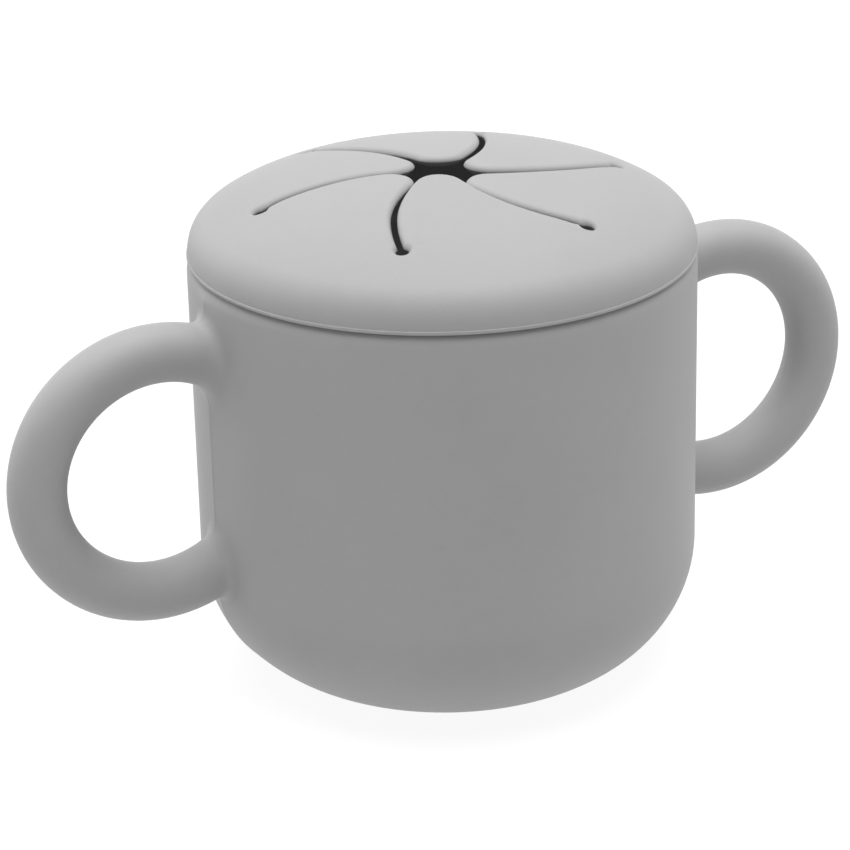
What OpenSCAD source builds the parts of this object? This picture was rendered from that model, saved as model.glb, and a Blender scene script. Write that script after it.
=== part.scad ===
// Toddler snack container: a straight-sided silicone cup with a ring handle moulded on each
// side, and a domed lid that plugs into its mouth. Pinwheel slits cut the middle of the lid into
// soft flaps that a small hand pushes down and that close behind it.
// +Z is up, the origin is the middle of the base, and the handles lie along X.

/* [Cup] */
// Outside diameter of the cup and of the lid
cup_d = 82; // [70:0.5:100]
// Height of the rim above the base
cup_h = 71.2; // [60:0.1:100]
// Thickness of the wall
wall = 2.4; // [1.8:0.1:3.5]
// Thickness of the floor
floor_t = 3; // [1.5:0.1:6]
// Radius that rounds the wall into the base
base_round = 21.5; // [10:0.5:26]
// Radius that softens the outer edge of the rim
rim_round = 1.3; // [0.4:0.1:1.6]

/* [Handles] */
// Thickness of a handle's round bar
bar_d = 9.3; // [6:0.1:12]
// Radius of the handle's ring, to the middle of the bar
ring_r = 20; // [15:0.5:24]
// How far the ring's centre stands out from the wall
ring_out = 9.9; // [6:0.1:11]
// How far the ring's centre lies below the rim
ring_drop = 28.8; // [25:0.1:35]

/* [Lid] */
// Radius that softens the lid's lowest edge, just above the seam
lip_round = 0.6; // [0.3:0.1:1.2]
// Radius of the arc that turns up the lid's side
edge_round = 7.1; // [5:0.1:10]
// Angle that the side arc turns through
edge_turn = 58.4; // [50:0.1:65]
// Radius of the flatter arc over the shoulder
shoulder_round = 32.2; // [24:0.1:40]
// Angle where the shoulder passes into the crown
shoulder_turn = 82; // [79:0.5:84]
// Thickness of the lid's shell
lid_wall = 2.2; // [1.8:0.1:3]
// Depth of the plug that goes into the cup
plug_depth = 8; // [5:0.5:12]
// Thickness of the plug
plug_t = 2; // [1.4:0.1:3]
// Gap between the plug and the bore of the cup
plug_gap = 0.4; // [0.25:0.05:0.7]
// Clearance that the sealing ribs leave to the bore
rib_gap = 0.06; // [0.03:0.01:0.1]
// Radius of a sealing rib's round section
rib_r = 0.9; // [0.8:0.1:1.4]
// Depth of the upper sealing rib below the seam
rib_depth = 2.4; // [1.5:0.1:3]
// Distance between the two sealing ribs
rib_pitch = 3; // [2:0.1:4]

/* [Flaps] */
// Thickness of a flap
flap_t = 1.6; // [1.2:0.1:2]
// Width of a slit
slit_w = 1; // [0.6:0.1:1.4]
// Radius of the arc that each slit follows out of the lid's centre
slit_arc_r = 35.5; // [28:0.5:60]
// Distance from the lid's centre to the end of a slit
slit_reach = 30; // [26:0.5:31]
// Bearing of the first slit's end, turning from +X towards +Y
slit_bearing = 172.5; // [0:0.5:360]
// Diameter of the round hole that ends a slit
end_hole_d = 2.3; // [1.6:0.1:3]
// Radius of a flap's rounded tip
tip_round = 3.8; // [2.5:0.1:4.5]
// Clearance between a flap's root and the lid around it
hinge_gap = 0.1; // [0.06:0.01:0.2]

/* [Hidden] */
$fn = 96;

silicone_colour = [0.60, 0.60, 0.60];
flap_colour = [0.66, 0.66, 0.66];

// How far a cutter runs past what it cuts
past = 1;

// Cup
cup_r = cup_d / 2;
bore_r = cup_r - wall;
ring_z = cup_h - ring_drop;
ring_x = cup_r + ring_out;
bar_r = bar_d / 2;
// The bar runs on inside the wall far enough for its whole end to be cut off by the wall
root_share = 0.8;
root_sink = root_share * bar_r;
root_turn = acos(-(ring_out + root_sink) / ring_r);

// Dome: the centres of its three tangent arcs, above the seam
function polar(r, a) = [r * cos(a), r * sin(a)];
edge_c = [cup_r - edge_round, lip_round];
shoulder_c = edge_c - polar(shoulder_round - edge_round, edge_turn);
crown_back = shoulder_c[0] / cos(shoulder_turn);
crown_r = shoulder_round + crown_back;
crown_c = shoulder_c - polar(crown_back, shoulder_turn);
// Height of the dome's outside above the seam, on the crown and on the shoulder
function dome_z(r) = r < crown_c[0] + crown_r * cos(shoulder_turn)
    ? crown_c[1] + sqrt(crown_r * crown_r - r * r)
    : shoulder_c[1] + sqrt(pow(shoulder_round, 2) - pow(r - shoulder_c[0], 2));
dome_top = dome_z(0);
// Depth of every cutter that goes right through the dome
cut_h = dome_top + 2 * past;

// Plug
plug_r = bore_r - plug_gap;
plug_in_r = plug_r - plug_t;
plug_lead = plug_t / 2;

// Flaps
flap_count = 6;
flap_step = 360 / flap_count;
hole_r = end_hole_d / 2;
// The thin middle of the lid reaches just past the ends of the slits
thin_margin = 1;
thin_r = slit_reach + hole_r + thin_margin;
// Each slit follows a circle through the lid's centre: bearing of that circle's own centre
slit_centre_bearing = slit_bearing + 90 - asin(slit_reach / (2 * slit_arc_r));
slit_a = polar(slit_arc_r, slit_centre_bearing);
slit_b = polar(slit_arc_r, slit_centre_bearing + flap_step);
end_a = polar(slit_reach, slit_bearing);
end_b = polar(slit_reach, slit_bearing + flap_step);
// A flap's edges lie half a slit inside the first circle and half a slit outside the second
inner_edge_r = slit_arc_r - slit_w / 2;
outer_edge_r = slit_arc_r + slit_w / 2;
// The tip is a disc that touches both edges: its centre is where two shifted circles cross
tip_to_a = inner_edge_r - tip_round;
tip_to_b = outer_edge_r + tip_round;
centres_apart = norm(slit_b - slit_a);
centres_dir = (slit_b - slit_a) / centres_apart;
tip_along = (pow(tip_to_a, 2) - pow(tip_to_b, 2) + pow(centres_apart, 2)) / (2 * centres_apart);
tip_aside = sqrt(pow(tip_to_a, 2) - pow(tip_along, 2));
tip_c = slit_a + tip_along * centres_dir + tip_aside * [-centres_dir[1], centres_dir[0]];

// Hinge line of a flap: the straight line between the ends of its two slits
hinge_bearing = slit_bearing + flap_step / 2;
hinge_x = slit_reach * cos(flap_step / 2);
hinge_half = slit_reach * sin(flap_step / 2) - hole_r;
// The dome falls from the middle of the hinge line to its ends, and the root reaches over all of it
hinge_fall = dome_z(hinge_x) - dome_z(slit_reach);
hinge_z = cup_h + (dome_z(hinge_x) + dome_z(slit_reach) - flap_t) / 2;
hinge_r = flap_t / 2 + hinge_fall;
groove_r = hinge_r + hinge_gap;
// Steps along a flap's edge and round its tip
edge_steps = 14;
tip_steps = 16;

function bearing_of(v) = atan2(v[1], v[0]);
// Signed turn from one bearing to another, the short way round
function turn(from, to) = let (d = (to - from) % 360) d > 180 ? d - 360 : d < -180 ? d + 360 : d;
function arc_points(c, r, from, sweep, steps) = [for (i = [0:steps]) c + polar(r, from + sweep * i / steps)];

// A point given by its distance out along a flap's hinge bearing and its distance along the hinge line
function from_hinge(out, along) = polar(out, hinge_bearing) + polar(along, hinge_bearing + 90);
// Points of one edge of a flap, from the end of its slit in to the rounded tip
function edge_points(c, r, slit_end) =
    let (start = bearing_of(slit_end - c))
    arc_points(c, r, start, turn(start, bearing_of(tip_c - c)), edge_steps);
function reversed(list) = [for (i = [len(list) - 1:-1:0]) list[i]];
// Outline of a flap: its root strip, up one edge, round the tip and back down the other edge
function flap_points() =
    let (
        from_a = bearing_of(tip_c - slit_a),
        to_b = bearing_of(slit_b - tip_c),
        sweep = turn(from_a, to_b),
        tip = arc_points(tip_c, tip_round, from_a, sweep < 0 ? sweep : sweep - 360, tip_steps)
    )
    concat(
        [from_hinge(hinge_x + hinge_r, -hinge_half), from_hinge(hinge_x, -hinge_half)],
        edge_points(slit_a, inner_edge_r, end_a),
        [for (i = [1:tip_steps - 1]) tip[i]],
        reversed(edge_points(slit_b, outer_edge_r, end_b)),
        [from_hinge(hinge_x, hinge_half), from_hinge(hinge_x + hinge_r, hinge_half)]
    );

// Slice of a disc between two bearings, as seen from its centre
module pie(c, r, from, to) {
    intersection() {
        translate(c) circle(r);
        translate(c) polygon([[0, 0], polar(2 * r, from), polar(2 * r, to)]);
    }
}

// Half outline of the dome, every arc drawn in by inset, from the height foot upwards
module dome_half(inset, foot) {
    intersection() {
        translate([0, foot]) square([cup_r, dome_top - foot + past]);
        union() {
            translate([0, foot]) square([cup_r - inset, lip_round - foot]);
            pie(edge_c, edge_round - inset, 0, edge_turn);
            pie(shoulder_c, shoulder_round - inset, edge_turn, shoulder_turn);
            pie(crown_c, crown_r - inset, shoulder_turn, 90);
        }
    }
}

// Half outline of the cup, drawn in by inset, with its foot at height foot
module cup_half(inset, foot, top) {
    side = cup_r - inset;
    translate([0, base_round]) square([side, top - base_round]);
    translate([0, foot]) square([cup_r - base_round, base_round - foot]);
    intersection() {
        translate([cup_r - base_round, base_round]) circle(base_round - inset);
        translate([cup_r - base_round, foot]) square([base_round, base_round - foot]);
    }
}

module cup_solid() {
    rotate_extrude() {
        difference() {
            cup_half(0, 0, cup_h);
            rim_corner();
        }
    }
}

// What the rounding takes off the rim's outer edge
module rim_corner() {
    difference() {
        translate([cup_r - rim_round, cup_h - rim_round]) square(rim_round + past);
        translate([cup_r - rim_round, cup_h - rim_round]) circle(rim_round);
    }
}

// The cup stands on its flat base, and its wall is turned in one piece with the floor
module cup() {
    color(silicone_colour)
    rotate_extrude() {
        difference() {
            cup_half(0, 0, cup_h);
            rim_corner();
            intersection() {
                cup_half(wall, 0, cup_h + past);
                translate([0, floor_t]) square([cup_r, cup_h]);
            }
        }
    }
}

// Round bar bent into an open ring, cut to the cup's outside at both roots
module handle_bar() {
    difference() {
        translate([ring_x, 0, ring_z])
            rotate([90, 0, 0])
                rotate([0, 0, -root_turn])
                    rotate_extrude(angle = 2 * root_turn)
                        translate([ring_r, 0]) circle(bar_r);
        cup_solid();
    }
}

module handle_right() {
    color(silicone_colour) handle_bar();
}

module handle_left() {
    color(silicone_colour) rotate([0, 0, 180]) handle_bar();
}

// The lid's shell with its plug: the flaps' field and the end holes are cut out of it
module lid_ring() {
    color(silicone_colour)
    translate([0, 0, cup_h])
    difference() {
        rotate_extrude() lid_half();
        rotate([0, 0, slit_bearing]) {
            cylinder(h = cut_h, r = slit_reach, $fn = flap_count);
            for (i = [0:flap_count - 1])
                rotate([0, 0, i * flap_step]) translate([slit_reach, 0, 0]) cylinder(h = cut_h, r = hole_r);
        }
        for (i = [0:flap_count - 1])
            rotate([0, 0, hinge_bearing + i * flap_step])
                hinge_rod(groove_r, hinge_half + hinge_gap, hinge_z - cup_h);
    }
}

module lid_half() {
    difference() {
        union() {
            dome_half(0, 0);
            translate([plug_in_r, 0]) mirror([0, 1]) plug_section();
        }
        intersection() {
            dome_half(lid_wall, -past);
            translate([0, -past]) square([plug_in_r, cut_h + past]);
        }
        intersection() {
            dome_half(flap_t, -past);
            translate([0, -past]) square([thin_r, cut_h + past]);
        }
        difference() {
            translate([cup_r - lip_round, -past]) square([lip_round + past, lip_round + past]);
            translate([cup_r - lip_round, lip_round]) circle(lip_round);
        }
    }
}

// Section of the plug, pointing up: a wall with a lead-in at its end and two round sealing ribs
module plug_section() {
    translate([0, -lip_round])
        square([plug_t, plug_depth + lip_round - plug_lead]);
    translate([0, plug_depth - plug_lead])
        polygon([[0, 0], [plug_t, 0], [plug_t - plug_lead, plug_lead], [0, plug_lead]]);
    for (i = [0:1])
        intersection() {
            translate([plug_t + plug_gap - rib_gap - rib_r, rib_depth + i * rib_pitch]) circle(rib_r);
            translate([plug_t / 2, 0]) square([plug_t, plug_depth]);
        }
}

// Round rod along a flap's hinge line, at a height z and of a given half length
module hinge_rod(r, half, z) {
    translate([hinge_x, 0, z]) rotate([90, 0, 0]) cylinder(h = 2 * half, r = r, center = true);
}

// One flap: the thin crown inside its outline, with a root rounded about the hinge line
module flap(number) {
    color(flap_colour)
    rotate([0, 0, (number - 1) * flap_step])
    difference() {
        intersection() {
            translate([0, 0, cup_h])
                rotate_extrude()
                    difference() {
                        dome_half(0, 0);
                        dome_half(flap_t, -past);
                        translate([thin_r, -past]) square([cup_r, cut_h + past]);
                    }
            translate([0, 0, cup_h]) linear_extrude(cut_h) flap_outline();
        }
        rotate([0, 0, hinge_bearing])
            difference() {
                translate([hinge_x, -slit_reach, cup_h]) cube([2 * hinge_r, 2 * slit_reach, cut_h]);
                hinge_rod(hinge_r, slit_reach, hinge_z);
            }
    }
}

// The flap seen from above, with the bites that the two end holes take out of its root
module flap_outline() {
    difference() {
        polygon(flap_points());
        translate(end_a) circle(hole_r);
        translate(end_b) circle(hole_r);
    }
}

cup();
handle_left();
handle_right();
lid_ring();
flap(1);  // flap_1
flap(2);  // flap_2
flap(3);  // flap_3
flap(4);  // flap_4
flap(5);  // flap_5
flap(6);  // flap_6
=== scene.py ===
"""Toddler snack container: a silicone cup with two ring handles and a domed lid with pinwheel
flaps.

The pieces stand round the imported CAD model, which gives their bodies and joints. Sizes are
written in millimetres and become metres where a mesh is made. +Z is up, the middle of the cup's
base is the origin, and the handles lie along X.
"""
import math

import bmesh
import bpy
import numpy as np
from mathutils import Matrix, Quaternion, Vector


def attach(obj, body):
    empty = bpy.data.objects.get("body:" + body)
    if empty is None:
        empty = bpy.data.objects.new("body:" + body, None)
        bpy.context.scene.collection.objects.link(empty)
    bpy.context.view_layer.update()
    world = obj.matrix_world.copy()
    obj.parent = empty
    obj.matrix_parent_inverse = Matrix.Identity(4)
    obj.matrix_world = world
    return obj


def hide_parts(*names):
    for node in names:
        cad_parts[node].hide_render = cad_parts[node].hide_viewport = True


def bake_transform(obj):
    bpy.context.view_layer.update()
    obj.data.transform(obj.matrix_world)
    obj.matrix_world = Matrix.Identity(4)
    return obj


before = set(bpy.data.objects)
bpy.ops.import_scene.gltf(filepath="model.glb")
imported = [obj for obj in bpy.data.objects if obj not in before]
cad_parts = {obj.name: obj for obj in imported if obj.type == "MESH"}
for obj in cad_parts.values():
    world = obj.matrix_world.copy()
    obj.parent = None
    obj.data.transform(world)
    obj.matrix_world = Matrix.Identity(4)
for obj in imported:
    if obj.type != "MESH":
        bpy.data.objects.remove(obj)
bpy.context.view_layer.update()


# ------------------------------------------------------------------------------------------------
# The cup: one moulding of soft, opaque grey silicone, floor and wall together, pressed in a mould
# of two halves that meet in the plane of the handles. The handles grow out of its wall, and its
# rim is rounded where the lid sits down on it.
MM = 0.001
CUP_R, CUP_H = 41.0, 71.2
WALL, FLOOR = 2.4, 3.0
BASE_ROUND = 21.5
RIM_IN, RIM_DOWN, RIM_INNER = 1.3, 2.2, 0.3
# Along the parting line the mould's back half stands a hair proud, and the wall rises to it from
# both sides. The step fades out over the bottom step_fade of the wall.
MOULD_STEP, MOULD_BLUR, STEP_FADE = 0.05, 0.17, 12.0
RISE, RISE_WIDTH = 0.4, 3.5
CUP_GREY = 0.37
# Patterns in the silicone, in repeats per metre: a slow drift of tone, a finer cloud, the mould's
# grain, and the cells that may hold a speck of dust
DRIFT, CLOUD, GRAIN, DUST_CELLS = 55.0, 420.0, 2600.0, 110.0
# How far from a cell's point, in cells, its speck starts and ends to fade, the share of cells
# without one, and how strong a speck is and its share of the silicone's red, green and blue
SPECK_FULL, SPECK_GONE, SPECK_FREE = 0.012, 0.024, 0.8
SPECK_STRENGTH, SPECK_TONE = 0.5, np.array([0.45, 0.45, 0.44])
# The shares of drift, grain and cloud in the tone and its spread, and those of grain and cloud in
# the bump, with its strength and its height in metres
TONE_DRIFT, TONE_GRAIN, TONE_CLOUD, TONE_SPREAD = 0.5, 0.22, 0.28, 0.1
BUMP_GRAIN, BUMP_CLOUD, BUMP_STRENGTH, BUMP_HEIGHT = 0.7, 0.3, 0.12, 0.00012
# Roughness, and what cloud and drift add to it
ROUGH, ROUGH_CLOUD, ROUGH_DRIFT = 0.5, 0.1, 0.06
SILICONE_IOR = 1.41


def ray(start, stop, count):
    """Unit vectors (cos a, sin a), with a running from start to stop degrees in count steps."""
    a = np.radians(np.linspace(start, stop, count))
    return np.stack([np.cos(a), np.sin(a)], axis=-1)


def line(start, stop, count):
    """Points start + t (stop - start), with t running from 0 to 1 in count steps."""
    t = np.linspace(0.0, 1.0, count)[:, None]
    return np.asarray(start) + t * (np.asarray(stop) - np.asarray(start))


def mould_step(y):
    """How far the mould's halves push the surface out at y: half a step times tanh(y / blur)."""
    return MOULD_STEP * np.tanh(y / MOULD_BLUR)


def wall_push(y):
    """The step and the rise that it stands on, rise times exp(-|y| / width)."""
    return mould_step(y) + RISE * np.exp(-np.abs(y) / RISE_WIDTH)


def spun(profile, bearings):
    """A profile of (radius, height) carried round Z: (r cos b, r sin b, z) for each bearing b."""
    b = np.radians(bearings)
    r, z = profile[:, :1], profile[:, 1:]
    return np.stack([r * np.cos(b), r * np.sin(b), z + 0 * b], axis=-1)


def skin(name, rows, poles=True, crease=35.0):
    """One closed mesh from rows[i, j] = (x, y, z) in millimetres.

    Columns close on themselves. Rows i and i + 1 are joined by quads (i, j), (i, j + 1),
    (i + 1, j + 1), (i + 1, j), which face outwards where columns run anticlockwise and rows
    climb. With poles the first and last rows are one point each, and triangles join them.
    Without, the last row is joined to the first. Columns that run together in a corner are merged
    there, and edges sharper than crease degrees stay sharp.
    """
    count, across = rows.shape[:2]
    index = np.arange(count * across).reshape(count, across)
    points = rows.reshape(-1, 3)
    if poles:
        points = points[across - 1 : (count - 1) * across + 1]
        index = index - (across - 1)
        index[0], index[-1] = 0, index[-1, 0]
        lower, upper = index[:-1], index[1:]
    else:
        lower, upper = index, np.roll(index, -1, axis=0)
    quads = np.stack(
        [lower, np.roll(lower, -1, axis=1), np.roll(upper, -1, axis=1), upper], axis=-1
    ).reshape(-1, 4)
    faces = quads.tolist()
    if poles:
        faces = quads[:across, [0, 2, 3]].tolist() + faces[across:-across]
        faces += quads[-across:, [0, 1, 2]].tolist()
    mesh = bpy.data.meshes.new(name)
    mesh.from_pydata((points * MM).tolist(), [], faces)
    merged = bmesh.new()
    merged.from_mesh(mesh)
    bmesh.ops.remove_doubles(merged, verts=merged.verts, dist=1e-7)
    merged.to_mesh(mesh)
    merged.free()
    mesh.polygons.foreach_set("use_smooth", np.ones(len(mesh.polygons), dtype=bool))
    mesh.set_sharp_from_angle(angle=math.radians(crease))
    piece = bpy.data.objects.new(name, mesh)
    bpy.context.scene.collection.objects.link(piece)
    return piece


class Feed:
    """One socket of a material's node tree. Sums and products with it add their Math nodes."""

    def __init__(self, tree, socket=None):
        self.tree, self.socket = tree, socket

    def node(self, kind, settings=None, out=0, **inputs):
        """Adds a node of a kind: first its settings, then the values or links of its sockets.

        A socket is named by its name with _ for a space, or by its number after an underscore.
        """
        made = self.tree.nodes.new(kind)
        for key, value in (settings or {}).items():
            setattr(made, key, value)
        for key, value in inputs.items():
            number = key.lstrip("_")
            socket = made.inputs[int(number) if number.isdigit() else key.replace("_", " ")]
            if isinstance(value, Feed):
                self.tree.links.new(value.socket, socket)
            else:
                socket.default_value = value
        return Feed(self.tree, made.outputs[out] if len(made.outputs) else None)

    def _math(self, operation, a, b):
        return self.node("ShaderNodeMath", {"operation": operation}, _0=a, _1=b)

    def __add__(self, other):
        return self._math("ADD", self, other)

    def __mul__(self, other):
        return self._math("MULTIPLY", self, other)

    __radd__, __rmul__ = __add__, __mul__


def colour(levels):
    """A colour socket's value from one grey level or from red, green and blue."""
    return (*np.broadcast_to(levels, 3).tolist(), 1.0)


def silicone(name, grey):
    """Moulded silicone with a fine satin grain.

    The grey drifts by a few hundredths over centimetres and grains over tenths of a millimetre.
    A speck of dust sits in about one cell of five in a 9 mm cell pattern. The bump is the grain.
    """
    material = bpy.data.materials.new(name)
    material.use_nodes = True
    tree = material.node_tree
    tree.nodes.clear()
    start = Feed(tree)
    place = start.node("ShaderNodeTexCoord", out=3)
    drift = start.node("ShaderNodeTexNoise", Vector=place, Scale=DRIFT, Detail=2.0)
    grain = start.node("ShaderNodeTexNoise", Vector=place, Scale=GRAIN, Detail=2.0)
    cloud = start.node("ShaderNodeTexNoise", Vector=place, Scale=CLOUD, Detail=3.0)
    cell = start.node("ShaderNodeTexVoronoi", Vector=place, Scale=DUST_CELLS)
    pick = start.node("ShaderNodeTexVoronoi", out=1, Vector=place, Scale=DUST_CELLS)
    chance = start.node("ShaderNodeSeparateColor", Color=pick)
    near = start.node(
        "ShaderNodeMapRange",
        {"interpolation_type": "SMOOTHSTEP"},
        Value=cell,
        From_Min=SPECK_FULL,
        From_Max=SPECK_GONE,
        To_Min=1.0,
        To_Max=0.0,
    )
    kept = start.node("ShaderNodeMath", {"operation": "GREATER_THAN"}, _0=chance, _1=SPECK_FREE)
    speck = near * kept
    tone = TONE_DRIFT * drift + TONE_GRAIN * grain + TONE_CLOUD * cloud
    shade = start.node(
        "ShaderNodeMix",
        {"data_type": "RGBA"},
        out=2,
        _0=tone,
        _6=colour(grey * (1 - TONE_SPREAD)),
        _7=colour(grey * (1 + TONE_SPREAD)),
    )
    dusty = start.node(
        "ShaderNodeMix",
        {"data_type": "RGBA"},
        out=2,
        _0=speck * SPECK_STRENGTH,
        _6=shade,
        _7=colour(grey * SPECK_TONE),
    )
    bump = start.node(
        "ShaderNodeBump",
        Strength=BUMP_STRENGTH,
        Distance=BUMP_HEIGHT,
        Height=BUMP_GRAIN * grain + BUMP_CLOUD * cloud,
    )
    surface = start.node(
        "ShaderNodeBsdfPrincipled",
        Base_Color=dusty,
        Roughness=ROUGH + ROUGH_CLOUD * cloud + ROUGH_DRIFT * drift,
        Normal=bump,
        IOR=SILICONE_IOR,
    )
    start.node("ShaderNodeOutputMaterial", Surface=surface)
    return material


foot_r = CUP_R - BASE_ROUND
base_arc = np.array([foot_r, BASE_ROUND])
inner_round = BASE_ROUND - WALL
bore_r = CUP_R - WALL
floor_edge = -math.degrees(math.asin((BASE_ROUND - FLOOR) / inner_round))
floor_r = foot_r + inner_round * math.cos(math.radians(floor_edge))
rim_foot = CUP_H - RIM_DOWN
outside = [
    line((0.0, 0.0), (foot_r, 0.0), 6)[:-1],
    base_arc + BASE_ROUND * ray(-90, 0, 49)[:-1],
    line((CUP_R, BASE_ROUND), (CUP_R, rim_foot), 26)[:-1],
    (CUP_R - RIM_IN, rim_foot) + (RIM_IN, RIM_DOWN) * ray(0, 90, 19),
]
inside = [
    (bore_r + RIM_INNER, CUP_H - RIM_INNER) + RIM_INNER * ray(90, 180, 6),
    line((bore_r, CUP_H - 1.0), (bore_r, BASE_ROUND), 20)[:-1],
    base_arc + inner_round * ray(0, floor_edge, 33)[:-1],
    line((floor_r, FLOOR), (0.0, FLOOR), 8),
]
cup_profile = np.concatenate(outside + inside)
# Columns close up on both sides of each parting line, which runs down the wall at y = 0
near_line = np.array([0.08, 0.2, 0.35, 0.55, 0.8, 1.1])
near_line = np.concatenate([-near_line, near_line])
even = np.arange(0, 360, 1.5)
bearings = np.sort(np.concatenate([even, near_line % 360, near_line + 180]))
cup_rows = spun(cup_profile, bearings)
# The step fades out round the base and on the rim, and there is none inside
height = cup_profile[:, 1]
share = np.clip(height / STEP_FADE, 0, 1) * np.clip((CUP_H - height) / RIM_DOWN, 0, 1)
share[sum(len(part) for part in outside) :] = 0.0
push = share[:, None] * wall_push(cup_rows[..., 1])
cup_rows[..., 0] += push * np.cos(np.radians(bearings))
cup_rows[..., 1] += push * np.sin(np.radians(bearings))
cup = skin("cup_shell", cup_rows)
cup_silicone = silicone("cup silicone", CUP_GREY)
cup.data.materials.append(cup_silicone)
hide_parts("cup")
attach(cup, "cup")


# ------------------------------------------------------------------------------------------------
# The two handles: round bars bent into open rings, moulded in one with the cup. Each root flares
# into the wall in a soft fillet, and the mould's parting line runs on round the bar in the ring's
# plane.
FLARE_POWER, FLARE_SINK = 2.3, 0.003
# The fillets' reach at the lower and the upper root
LOW_FLARE, HIGH_FLARE = 1.7, 2.8
# Node, side, ring centre out and up, ring radius and bar radius. The rings are soft, so the two
# differ a little.
RINGS = {
    "right_handle": ("handle_right", 1, 50.8, 42.3, 19.88, 4.6),
    "left_handle": ("handle_left", -1, 50.61, 42.1, 20.13, 4.7),
}
# How deep a root's end, hidden in the wall, lies from its middle out to its flare
ROOT_DEPTHS = (-1.2, -1.2, -1.1, -0.4)
# The bars are better trimmed than the wall: this share of its step is left on them, and it comes
# in over the first and last eighth of the way round
BAR_STEP, STEP_ENDS = 0.35, 8
RING_STEPS, FILLET_STEPS, WALL_TURNS = 74, 15, 12


def bar_points(rho, deep, phi, side, foot, ring_x, ring_z, ring_r):
    """Points of a root at wall distance deep, on a section of radius rho: rho sin(phi) across.

    x lies on the circle of radius wall + deep, and the angle t round the ring follows from
    x = ring_x + (ring_r + rho cos phi) cos t. The height is
    z = ring_z + (ring_r + rho cos phi) sin t. The wall draws in below the top of the base
    rounding, to foot_r + sqrt(base_round^2 - (base_round - z)^2), so its radius and z are worked
    out by turns until they agree. foot is -1 at the lower root, 1 at the upper.
    """
    across = rho * np.sin(phi)
    step = wall_push(side * across)
    out = ring_r + rho * np.cos(phi)
    z = ring_z
    for _ in range(WALL_TURNS):
        below = np.clip(BASE_ROUND - z, 0, BASE_ROUND)
        wall_r = foot_r + np.sqrt(BASE_ROUND**2 - below**2)
        x = np.sqrt((wall_r + deep + step) ** 2 - across**2)
        turn = foot * np.arccos((x - ring_x) / out)
        z = ring_z + out * np.sin(turn)
    return np.stack([x, across, z], axis=-1), turn


def handle(name, side, ring_x, ring_z, ring_r, bar_r):
    """A ring handle from its lower root round to its upper, side 1 for +X and -1 for -X."""
    # Columns close up on both sides of the parting line, which runs at phi = 0 and 180 degrees
    fine = np.array([0.3, 1.0, 1.9, 3.0, 4.5])
    fine = np.concatenate([-fine, fine])
    phi = np.radians(np.sort(np.concatenate([np.arange(0, 360, 6.0), fine % 360, fine + 180])))
    # Fillet section: (1 - u)^p + (1 - v)^p = 1, u along the wall and v along the bar
    u, v = 1 - ray(90, 0, FILLET_STEPS).T ** (2 / FLARE_POWER)
    roots = []
    for foot, flare in ((-1, LOW_FLARE), (1, HIGH_FLARE)):
        rho = np.concatenate([[0.0, 0.5 * bar_r, bar_r, bar_r + flare], bar_r + flare * u])
        deep = np.concatenate([ROOT_DEPTHS, flare * v - FLARE_SINK])
        rho, deep = rho[:, None], deep[:, None]
        roots.append(bar_points(rho, deep, phi, side, foot, ring_x, ring_z, ring_r))
    (low, low_turn), (high, high_turn) = roots
    t = np.linspace(0, 1, RING_STEPS)[1:-1, None]
    turn = low_turn[-1] + t * (high_turn[-1] - low_turn[-1])
    fade = BAR_STEP * np.minimum(1, STEP_ENDS * np.minimum(t, 1 - t))
    thick = bar_r + fade * mould_step(side * bar_r * np.sin(phi))
    out = ring_r + thick * np.cos(phi)
    across = thick * np.sin(phi)
    ring = np.stack([ring_x + out * np.cos(turn), across, ring_z + out * np.sin(turn)], axis=-1)
    rows = np.concatenate([low, ring, high[::-1]])
    rows[..., :2] *= side
    piece = skin(name, rows)
    piece.data.materials.append(cup_silicone)
    return piece


for name, (node, side, *sizes) in RINGS.items():
    grip = handle(name, side, *sizes)
    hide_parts(node)
    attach(grip, "cup")


# ------------------------------------------------------------------------------------------------
# The lid's dome: a silicone shell with a rounded shoulder, a thin ledge above the seam, and a
# plug with two sealing ribs that pushes into the cup. Its middle is cut through, along straight
# roots and round the small holes that end the slits, where the six flaps carry on from it.
EDGE_C, EDGE_ROUND, EDGE_TURN = np.array([33.9, 0.6]), 7.1, 58.4
SHOULDER_ROUND, SHOULDER_TURN = 32.2, 82.0
# The shell's thickness, the flaps', and the radius and width over which one becomes the other
LID_WALL, FLAP_T, THIN_FROM, THIN_OVER = 2.2, 1.6, 31.4, 1.2
# The curved lip at the seam, and the ledge above it: how far in it steps, between which heights,
# and the height at which it has faded out
LIP_IN, LIP = 1.2, 0.42
LEDGE, LEDGE_LOW, LEDGE_HIGH, LEDGE_FADE = 0.14, 0.68, 0.86, 6.0
# Where rows close up for the ledge, in degrees up the edge's arc
LEDGE_ARC = (0.2, 3.0)
# Inside, the shell turns down into the plug on part of an ellipse: its half-axes, how far its
# middle lies below the shell, how far short of the plug the underside ends before it, and how far
# down the plug's wall starts after it
TURN, TURN_LOW, TURN_FROM, TURN_TO = np.array([1.0, 1.15]), 0.75, 1.2, 1.6
# The plug, and where its lead starts, as shares of it
PLUG_OUT, PLUG_IN, PLUG_DEPTH, PLUG_ROUND = 38.2, 36.2, 8.0, 0.3
PLUG_LEAD, LEAD_START = 1.0, (0.8, 0.1)
# Its ribs, and the plain wall above them, from this far over the last rib to this far below the
# seat
RIB_R, RIB_X, RIB_ZS = 0.9, 37.64, (-5.4, -2.4)
OVER_RIB, UNDER_SEAT = 1.0, 0.15
# Six slits, and six of all that repeats with them
SIXTH = 60
SLIT_REACH, SLIT_BEARING = 30.0, 172.5
HOLE_R, HOLE_SWEEP = 1.03, 120
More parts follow.
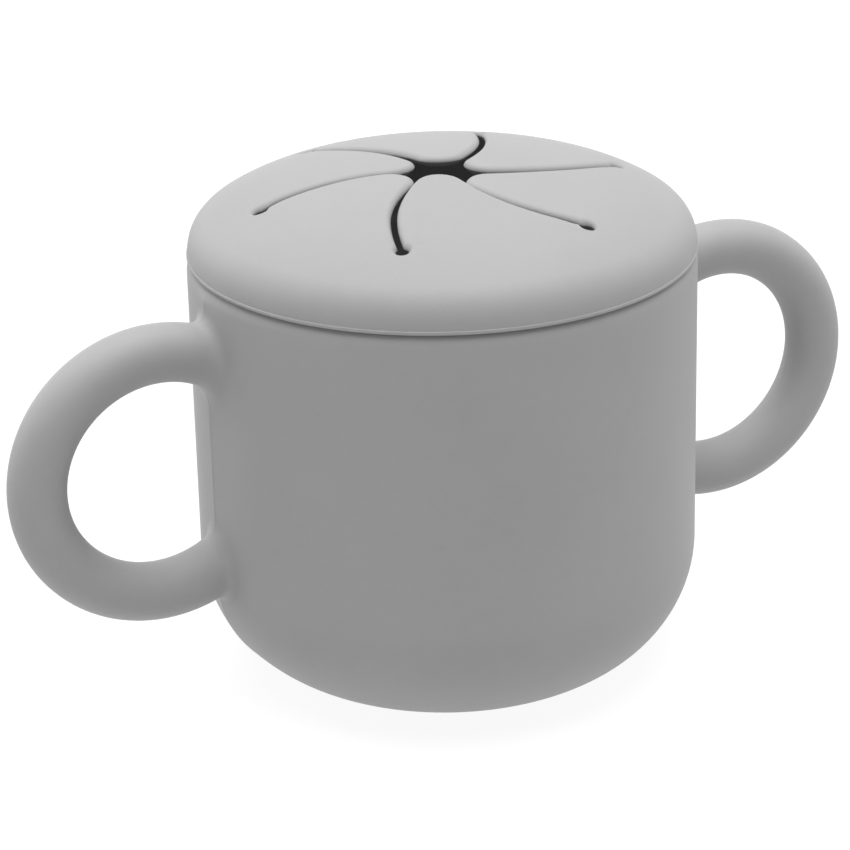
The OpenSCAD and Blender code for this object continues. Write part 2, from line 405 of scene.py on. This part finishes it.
# The cut edges: rounded over by soft on top, turning down by soft_turn degrees, thinned to cut_t
# at the cut, and sloped out below to the full thickness over thin_in, from cut_step in and below
SOFT, SOFT_TURN, CUT_T, THIN_IN = 1.0, 75.0, 0.87, 0.7
CUT_STEP = (0.04, 0.06)
HOLE_STEPS, ROOT_STEPS = 24, 40
# On the field's edge a hole's columns spread over this many degrees to each side
HOLE_SPREAD = 6.0
FIELD_R, FIELD_CROWDING = 33.0, 1.4
LID_GREY = 0.366


def unit(degrees):
    """The unit plan vector at a bearing."""
    return ray(degrees, degrees, 1)[0]


shoulder_c = EDGE_C - (SHOULDER_ROUND - EDGE_ROUND) * unit(EDGE_TURN)
crown_back = shoulder_c[0] / math.cos(math.radians(SHOULDER_TURN))
crown_round = SHOULDER_ROUND + crown_back
crown_low = shoulder_c[1] - crown_back * math.sin(math.radians(SHOULDER_TURN))


def dome(r, inset=0.0):
    """Height of the dome at radius r, drawn in by inset.

    The crown's arc inside and the shoulder's outside, each
    z = centre + sqrt((round - inset)^2 - (r - centre)^2).
    """
    crown = crown_low + np.sqrt((crown_round - inset) ** 2 - r**2)
    shoulder = shoulder_c[1] + np.sqrt(
        np.maximum((SHOULDER_ROUND - inset) ** 2 - (r - shoulder_c[0]) ** 2, 0)
    )
    change = shoulder_c[0] + (SHOULDER_ROUND - inset) * math.cos(math.radians(SHOULDER_TURN))
    return CUP_H + np.where(r < change, crown, shoulder)


def turned(xy, degrees):
    """Plan points turned about the axis."""
    c, s = math.cos(math.radians(degrees)), math.sin(math.radians(degrees))
    return np.stack([c * xy[..., 0] - s * xy[..., 1], s * xy[..., 0] + c * xy[..., 1]], axis=-1)


def smooth(t):
    """3 t^2 - 2 t^3 between 0 and 1, flat outside."""
    t = np.clip(t, 0, 1)
    return t * t * (3 - 2 * t)


def cut_edge():
    """A cut edge's section from the dome's top down to its underside: (drawn back, depth) pairs.

    An arc of radius r = soft / sin(soft_turn), soft - r sin a drawn back and r (1 - cos a) deep
    with a from 0 to soft_turn, then the cut face, and the slope below it.
    """
    round_r = SOFT / math.sin(math.radians(SOFT_TURN))
    over = np.array([SOFT, round_r]) - round_r * ray(0, SOFT_TURN, 11)[:, ::-1]
    under = line((CUT_STEP[0], CUT_T + CUT_STEP[1]), (THIN_IN, FLAP_T), 4)
    return np.concatenate([over, [(0.0, CUT_T)], under])


def root_points(drawn):
    """Plan points along a flap's root, between two end holes, both drawn back by drawn."""
    reach = HOLE_R + np.atleast_1d(drawn)[:, None, None]
    along = reach + np.linspace(0, 1, ROOT_STEPS + 1)[:, None] * (SLIT_REACH - 2 * reach)
    return SLIT_REACH * unit(SLIT_BEARING) + along * unit(SLIT_BEARING + HOLE_SWEEP)


def opening(drawn):
    """Plan of the lid's whole opening, drawn out into the lid by drawn: [row, column, xy].

    Each sixth is the far side of an end hole, a circle of radius hole + drawn swept through
    hole_sweep to each side of the slit's bearing, and then the straight root to the next hole.
    """
    reach = HOLE_R + np.atleast_1d(drawn)[:, None, None]
    far_side = ray(SLIT_BEARING - HOLE_SWEEP, SLIT_BEARING + HOLE_SWEEP, HOLE_STEPS + 1)[:-1]
    hole = SLIT_REACH * unit(SLIT_BEARING) + reach * far_side
    sixth = np.concatenate([hole, root_points(drawn)[:, :-1]], axis=1)
    return np.concatenate([turned(sixth, SIXTH * k) for k in range(6)], axis=1)


def on_dome(xy, depth=0.0, lift=0.0):
    """Plan points set on the dome at a depth, of which flap_t is the underside, and lifted."""
    r = np.hypot(xy[..., 0], xy[..., 1])
    top, under = dome(r), dome(r, FLAP_T)
    z = top - depth / FLAP_T * (top - under) + lift
    return np.concatenate([xy, z[..., None]], axis=-1)


hole_bearings = np.linspace(-HOLE_SPREAD, HOLE_SPREAD, HOLE_STEPS + 1)[:-1]
root_bearings = np.linspace(HOLE_SPREAD, SIXTH - HOLE_SPREAD, ROOT_STEPS + 1)[:-1]
sixth_bearings = SLIT_BEARING + np.concatenate([hole_bearings, root_bearings])
lid_bearings = np.concatenate([sixth_bearings + SIXTH * k for k in range(6)])
field_ring = spun(np.array([[FIELD_R, 0.0]]), lid_bearings)[0, :, :2]

# From the seat up the side and over the shoulder to the field of the flaps
side_arc = np.concatenate([ray(*LEDGE_ARC, 20)[:-1], ray(LEDGE_ARC[1], EDGE_TURN, 28)])
field_angle = math.degrees(math.acos((FIELD_R - shoulder_c[0]) / SHOULDER_ROUND))
over_side = np.concatenate(
    [
        line((PLUG_OUT, 0.0), (CUP_R - LIP_IN, 0.0), 6)[:-1],
        (CUP_R - LIP_IN, LIP) + (LIP_IN, LIP) * ray(-90, 0, 10)[:-1],
        line((CUP_R, LIP), (CUP_R, EDGE_C[1]), 4),
        EDGE_C + EDGE_ROUND * side_arc,
        shoulder_c + SHOULDER_ROUND * ray(EDGE_TURN, field_angle, 10)[1:],
    ]
)
height = over_side[:, 1]
ledge_in = smooth((height - LEDGE_LOW) / (LEDGE_HIGH - LEDGE_LOW))
over_side[:, 0] -= LEDGE * ledge_in * smooth(1 - height / LEDGE_FADE)
# From the field's edge back along the underside, down inside the plug and up its ribbed outside
corner = dome(np.array([PLUG_IN]), LID_WALL)[0] - CUP_H
under_r = np.linspace(FIELD_R, PLUG_IN - TURN_FROM, 8)[1:]
plug_foot = -PLUG_DEPTH + PLUG_ROUND
lead_start = (PLUG_OUT - LEAD_START[0] * PLUG_LEAD, -PLUG_DEPTH + LEAD_START[1] * PLUG_LEAD)
under_side = [
    np.stack([under_r, dome(under_r, LID_WALL) - CUP_H], axis=-1),
    (PLUG_IN - TURN[0], corner - TURN_LOW) + TURN * ray(70, 0, 6),
    line((PLUG_IN, corner - TURN_TO), (PLUG_IN, plug_foot), 10),
    (PLUG_IN + PLUG_ROUND, plug_foot) + PLUG_ROUND * ray(180, 270, 4)[1:],
    line((PLUG_IN + 2 * PLUG_ROUND, -PLUG_DEPTH), (PLUG_OUT - PLUG_LEAD, -PLUG_DEPTH), 3),
    line(lead_start, (PLUG_OUT, -PLUG_DEPTH + PLUG_LEAD), 4),
]
rib_half = math.degrees(math.acos((PLUG_OUT - RIB_X) / RIB_R))
for rib_z in RIB_ZS:
    under_side.append((RIB_X, rib_z) + RIB_R * ray(-rib_half, rib_half, 11))
under_side.append(line((PLUG_OUT, RIB_ZS[-1] + OVER_RIB), (PLUG_OUT, -UNDER_SEAT), 4))
under_side = np.concatenate(under_side)

section = cut_edge()
# The fields between the opening and a plain ring, on top and below: 1 at the ring
blend_in = np.linspace(1, 0, 14)[1:, None, None] ** FIELD_CROWDING
top_field = field_ring * blend_in + opening(section[:1, 0]) * (1 - blend_in)
cut_faces = opening(section[:, 0])
blend_out = np.linspace(0, 1, 12)[1:, None, None]
under_field = field_ring * blend_out + opening(section[-1:, 0]) * (1 - blend_out)
under_field_r = np.hypot(under_field[..., 0], under_field[..., 1])
thicker = FLAP_T + (LID_WALL - FLAP_T) * smooth((under_field_r - THIN_FROM) / THIN_OVER)
lid_rows = np.concatenate(
    [
        spun(over_side + (0, CUP_H), lid_bearings),
        on_dome(top_field[:-1]),
        on_dome(cut_faces, section[:, 1:]),
        np.concatenate([under_field, dome(under_field_r, thicker)[..., None]], axis=-1),
        spun(under_side + (0, CUP_H), lid_bearings),
    ]
)
lid = skin("lid_dome", lid_rows, poles=False)
lid_silicone = silicone("lid silicone", LID_GREY)
lid.data.materials.append(lid_silicone)
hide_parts("lid_ring")
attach(lid, "lid")


# ------------------------------------------------------------------------------------------------
# The six flaps: the thin middle of the lid, slit into a pinwheel after moulding. Each is one
# piece with the dome along its straight root. Slit edges follow circles through the lid's axis,
# tips are rounded, and use has left some tips a little raised or sunk.
SLIT_ARC, SLIT_W = 35.5, 1.0
# A tip's round, and a point near its middle: how far out, and at what bearing
TIP_ROUND, TIP_OUT, TIP_BEARING = 3.8, 8.6, 184
CORNER = 1.0
EDGE_STEPS, TIP_STEPS, CORNER_STEPS, BITE_STEPS = 44, 26, 8, 6
# Where a flap's faces have their pole, out along its middle and aside, and how its rings crowd
FLAP_MIDDLE, FLAP_RINGS, RING_CROWDING = (17.5, -1.5), 16, 0.8
TIP_LIFTS = {1: 0.15, 2: 1.83, 3: -0.3, 4: 0.3, 5: 0.8, 6: -0.1}
# Use has also pushed the soft middle a little out of place: where, how far, and how wide
PUSHES = [
    ((-13.3, -10.2), (-0.42, 0.2), 6.5),
    ((-7.9, 4.4), (-1.08, 0.52), 5.0),
    ((4.1, -7.5), (0.45, -0.22), 4.0),
]

hinge_bearing = SLIT_BEARING + SIXTH / 2
hinge_out = SLIT_REACH * math.cos(math.radians(SIXTH / 2))
hinge_up = (dome(np.array([hinge_out]))[0] + dome(np.array([SLIT_REACH]))[0] - FLAP_T) / 2
# Flap 1 lies between slits a and b: the middles of their circles, and of their end holes
slit_turn = SLIT_BEARING + 90 - math.degrees(math.asin(SLIT_REACH / (2 * SLIT_ARC)))
slit_a, slit_b = (SLIT_ARC * unit(slit_turn + d) for d in (0, SIXTH))
end_a, end_b = (SLIT_REACH * unit(SLIT_BEARING + d) for d in (0, SIXTH))
# From end hole b back along the root
back_bearing = SLIT_BEARING - SIXTH
back = unit(back_bearing)


def meeting(c1, r1, c2, r2, near):
    """Where two circles cross, at the crossing nearer to a point."""
    apart = np.linalg.norm(c2 - c1)
    way = (c2 - c1) / apart
    along = (r1**2 - r2**2 + apart**2) / (2 * apart)
    aside = math.sqrt(r1**2 - along**2) * np.array([-way[1], way[0]])
    found = [c1 + along * way + aside, c1 + along * way - aside]
    return min(found, key=lambda p: np.linalg.norm(p - near))


def bearing(v):
    """Bearing of a plan vector in degrees."""
    return math.degrees(math.atan2(v[1], v[0]))


def arcs(centre, radii, start, stop, count, way=0):
    """Rows of arcs about one centre, a row for each radius: centre + r (cos a, sin a).

    way is 1 to turn anticlockwise from start to stop, -1 for clockwise and 0 for the short way.
    """
    turn = (stop - start) % 360
    if way < 0 or (way == 0 and turn >= 180):
        turn -= 360
    return centre + np.asarray(radii)[:, None, None] * ray(start, start + turn, count)


# The flap's tip touches slit circle a from inside and slit circle b from outside. A corner circle
# rounds the place where slit a runs into its end hole. At slit b the corner is narrow and stays
# plain.
inner_edge, outer_edge = SLIT_ARC - SLIT_W / 2, SLIT_ARC + SLIT_W / 2
tip_near = TIP_OUT * unit(TIP_BEARING)
tip_c = meeting(slit_a, inner_edge - TIP_ROUND, slit_b, outer_edge + TIP_ROUND, tip_near)
root_middle = hinge_out * unit(hinge_bearing)
corner_a = meeting(end_a, HOLE_R + CORNER, slit_a, inner_edge - CORNER, root_middle)


def root_and_slit(radius):
    """How far from end hole b the root meets a circle of a radius about slit_b.

    The positive t where |end_b + t back - slit_b| = radius.
    """
    out = end_b - slit_b
    along = -out @ back
    return along + math.sqrt(radius**2 - out @ out + along**2)


def corner_at_b(d):
    """The bite that end hole b takes out of the flap at drawn d: its reach along the root, its
    corner, and how many degrees it sweeps to there.

    The corner is where the hole meets the slit's edge, or, once that has slid past the root,
    where the root itself does.
    """
    corner = meeting(end_b, HOLE_R + d, slit_b, outer_edge + d, root_middle)
    swept = (back_bearing - bearing(corner - end_b)) % 360
    if swept < 180:
        return HOLE_R + d, corner, swept
    reach = root_and_slit(outer_edge + d)
    return reach, end_b + reach * back, 0.0


def flap_outline(drawn):
    """Plan of flap 1 drawn in by each of drawn, anticlockwise: [row, column, xy].

    Root, end hole b, slit edge b, tip, slit edge a, the corner and end hole a. Drawing in widens
    the hollow arcs and tightens the round ones, so every edge moves by the same amount.
    """
    d = np.atleast_1d(drawn)
    tip_at_a, tip_at_b = bearing(tip_c - slit_a), bearing(tip_c - slit_b)
    corner_at_slit, corner_at_hole = bearing(corner_a - slit_a), bearing(corner_a - end_a)
    rows = []
    for each in d:
        reach, corner_b, swept = corner_at_b(each)
        root = line(root_points(each)[0, 0], end_b + reach * back, ROOT_STEPS + 1)
        bite = end_b + reach * ray(back_bearing, back_bearing - swept, BITE_STEPS)[1:]
        corner_way = bearing(corner_b - slit_b)
        edge_b = arcs(slit_b, [outer_edge + each], corner_way, tip_at_b, EDGE_STEPS)[0, 1:]
        rows.append(np.concatenate([root, bite, edge_b]))
    tip = arcs(tip_c, TIP_ROUND - d, tip_at_b + 180, tip_at_a, TIP_STEPS, 1)
    edge_a = arcs(slit_a, inner_edge - d, tip_at_a, corner_at_slit, EDGE_STEPS)
    corner = arcs(corner_a, CORNER - d, corner_at_slit, corner_at_hole + 180, CORNER_STEPS, 1)
    hole = arcs(end_a, HOLE_R + d, corner_at_hole, SLIT_BEARING + HOLE_SWEEP, BITE_STEPS, -1)
    parts = [np.stack(rows), tip[:, 1:], edge_a[:, 1:], corner[:, 1:], hole[:, 1:-1]]
    return np.concatenate(parts, axis=1)


def lifted(xy, tip_lift):
    """How high a point of flap 1 stands above the dome: tip_lift times the square of its share of
    the way from the root to the lid's axis."""
    out = xy @ unit(hinge_bearing)
    return tip_lift * (np.clip(hinge_out - out, 0, None) / hinge_out) ** 2


def pushed(xy):
    """Plan points moved by every push: its shift times exp(-(distance / width)^2 / 2)."""
    moved = xy.copy()
    for centre, shift, width in PUSHES:
        near = np.exp(-((xy - centre) ** 2).sum(axis=-1, keepdims=True) / (2 * width**2))
        moved += near * shift
    return moved


middle = turned(np.array(FLAP_MIDDLE), hinge_bearing)
rings = np.linspace(0, 1, FLAP_RINGS + 1)[:-1, None, None] ** RING_CROWDING
bottom = middle + rings * (flap_outline(section[-1:, 0]) - middle)
edge = flap_outline(section[::-1, 0])
top = middle + rings[::-1] * (flap_outline(section[:1, 0]) - middle)
plan = np.concatenate([bottom, edge, top])
depths = np.concatenate([np.full(FLAP_RINGS, FLAP_T), section[::-1, 1], np.zeros(FLAP_RINGS)])
for number, tip_lift in TIP_LIFTS.items():
    turn_by = SIXTH * (number - 1)
    rows = on_dome(pushed(turned(plan, turn_by)), depths[:, None], lifted(plan, tip_lift))
    flap = skin(f"lid_flap_{number}", rows)
    flap.data.materials.append(lid_silicone)
    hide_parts(f"flap_{number}")
    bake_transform(flap)


# ------------------------------------------------------------------------------------------------
# The studio: a pale floor that keeps the cup's soft shadow, a wide overhead light, a dim even
# room, and a white background for the camera and for reflections. The camera stands in front, a
# little to the left and above, as in the photograph.
SKY = 0.016
# Bearing, height and width in degrees, and strength, of each lamp. The fill casts no shadow.
LAMPS = {
    "overhead": (0.0, 90.0, 60.0, 3.55),
    "right": (0.0, 25.0, 60.0, 0.8),
    "left": (125.0, 25.0, 60.0, 1.1),
    "front": (244.0, 35.0, 80.0, 0.2),
    "fill": (244.0, 35.0, 80.0, 0.13),
}
# Light that soaks through the soft walls, as a faint lamp inside the cup
SOAKED = 0.003
# What the floor gives back to the cup, and what it shows the camera: a white glow, mixed with the
# floor_shadow share of a pale matt paint that takes the shadow
FLOOR_BOUNCE, FLOOR_GLOW = 0.25, 0.6
FLOOR_WHITE, FLOOR_SHADOW, FLOOR_PALE = 1.07, 0.16, 0.97
# Half the floor's width and how far it lies below the base, in metres
FLOOR_HALF, FLOOR_GAP = 3.0, 0.0001
CAMERA_AT = (-211.13, -434.41, 239.54)
CAMERA_AIM = (-3.19, 1.24, 40.35)
CAMERA_ROLL = -0.0234
CAMERA_LENS = 134.69


def seen_white(start):
    """1 on camera, glossy and transmission rays, 0 on the rest."""
    path = [start.node("ShaderNodeLightPath", out=k) for k in (0, 3, 6)]
    both = start.node("ShaderNodeMath", {"operation": "MAXIMUM"}, _0=path[0], _1=path[1])
    return start.node("ShaderNodeMath", {"operation": "MAXIMUM"}, _0=both, _1=path[2])


scene = bpy.context.scene
scene.view_settings.view_transform = "Standard"
world = bpy.data.worlds.new("even room")
world.use_nodes = True
world.node_tree.nodes.clear()
room = Feed(world.node_tree)
sky = SKY + (1 - SKY) * seen_white(room)
light = room.node("ShaderNodeBackground", Color=colour(1.0), Strength=sky)
room.node("ShaderNodeOutputWorld", Surface=light)
scene.world = world

for name, (lamp_bearing, lamp_height, width, strength) in LAMPS.items():
    lamp = bpy.data.objects.new(name + " lamp", bpy.data.lights.new(name + " lamp", "SUN"))
    lamp.data.energy = strength
    lamp.data.angle = math.radians(width)
    lamp.data.use_shadow = name != "fill"
    b, e = math.radians(lamp_bearing), math.radians(lamp_height)
    toward = Vector((math.cos(e) * math.cos(b), math.cos(e) * math.sin(b), math.sin(e)))
    lamp.rotation_mode = "QUATERNION"
    lamp.rotation_quaternion = toward.to_track_quat("Z", "Y")
    scene.collection.objects.link(lamp)

soaked = bpy.data.objects.new("soaked light", bpy.data.lights.new("soaked light", "POINT"))
soaked.data.energy = SOAKED
soaked.data.shadow_soft_size = 0.0
soaked.location = (0.0, 0.0, 0.5 * CUP_H * MM)
scene.collection.objects.link(soaked)

floor_mesh = bpy.data.meshes.new("floor")
h = FLOOR_HALF
floor_mesh.from_pydata([(-h, -h, 0), (h, -h, 0), (h, h, 0), (-h, h, 0)], [], [(0, 1, 2, 3)])
floor = bpy.data.objects.new("floor", floor_mesh)
floor.location = (0.0, 0.0, -FLOOR_GAP)
scene.collection.objects.link(floor)
floor_paint = bpy.data.materials.new("floor paint")
floor_paint.use_nodes = True
floor_paint.node_tree.nodes.clear()
paint = Feed(floor_paint.node_tree)
matt = paint.node("ShaderNodeBsdfDiffuse", Color=colour(FLOOR_BOUNCE))
glow = paint.node("ShaderNodeEmission", Strength=FLOOR_GLOW)
bounce = paint.node("ShaderNodeAddShader", _0=matt, _1=glow)
pale = paint.node("ShaderNodeBsdfDiffuse", Color=colour(FLOOR_PALE))
white = paint.node("ShaderNodeEmission", Strength=FLOOR_WHITE)
shown = paint.node("ShaderNodeMixShader", _0=FLOOR_SHADOW, _1=white, _2=pale)
both = paint.node("ShaderNodeMixShader", _0=seen_white(paint), _1=bounce, _2=shown)
paint.node("ShaderNodeOutputMaterial", Surface=both)
floor_mesh.materials.append(floor_paint)

camera = bpy.data.objects.new("camera", bpy.data.cameras.new("camera"))
camera.data.lens = CAMERA_LENS
camera.data.sensor_width = 36.0
camera.data.clip_start = 0.01
camera.location = Vector(CAMERA_AT) * MM
aim = Vector(CAMERA_AIM) * MM - camera.location
camera.rotation_mode = "QUATERNION"
camera.rotation_quaternion = aim.to_track_quat("-Z", "Y") @ Quaternion((0, 0, 1), CAMERA_ROLL)
scene.collection.objects.link(camera)
scene.camera = camera
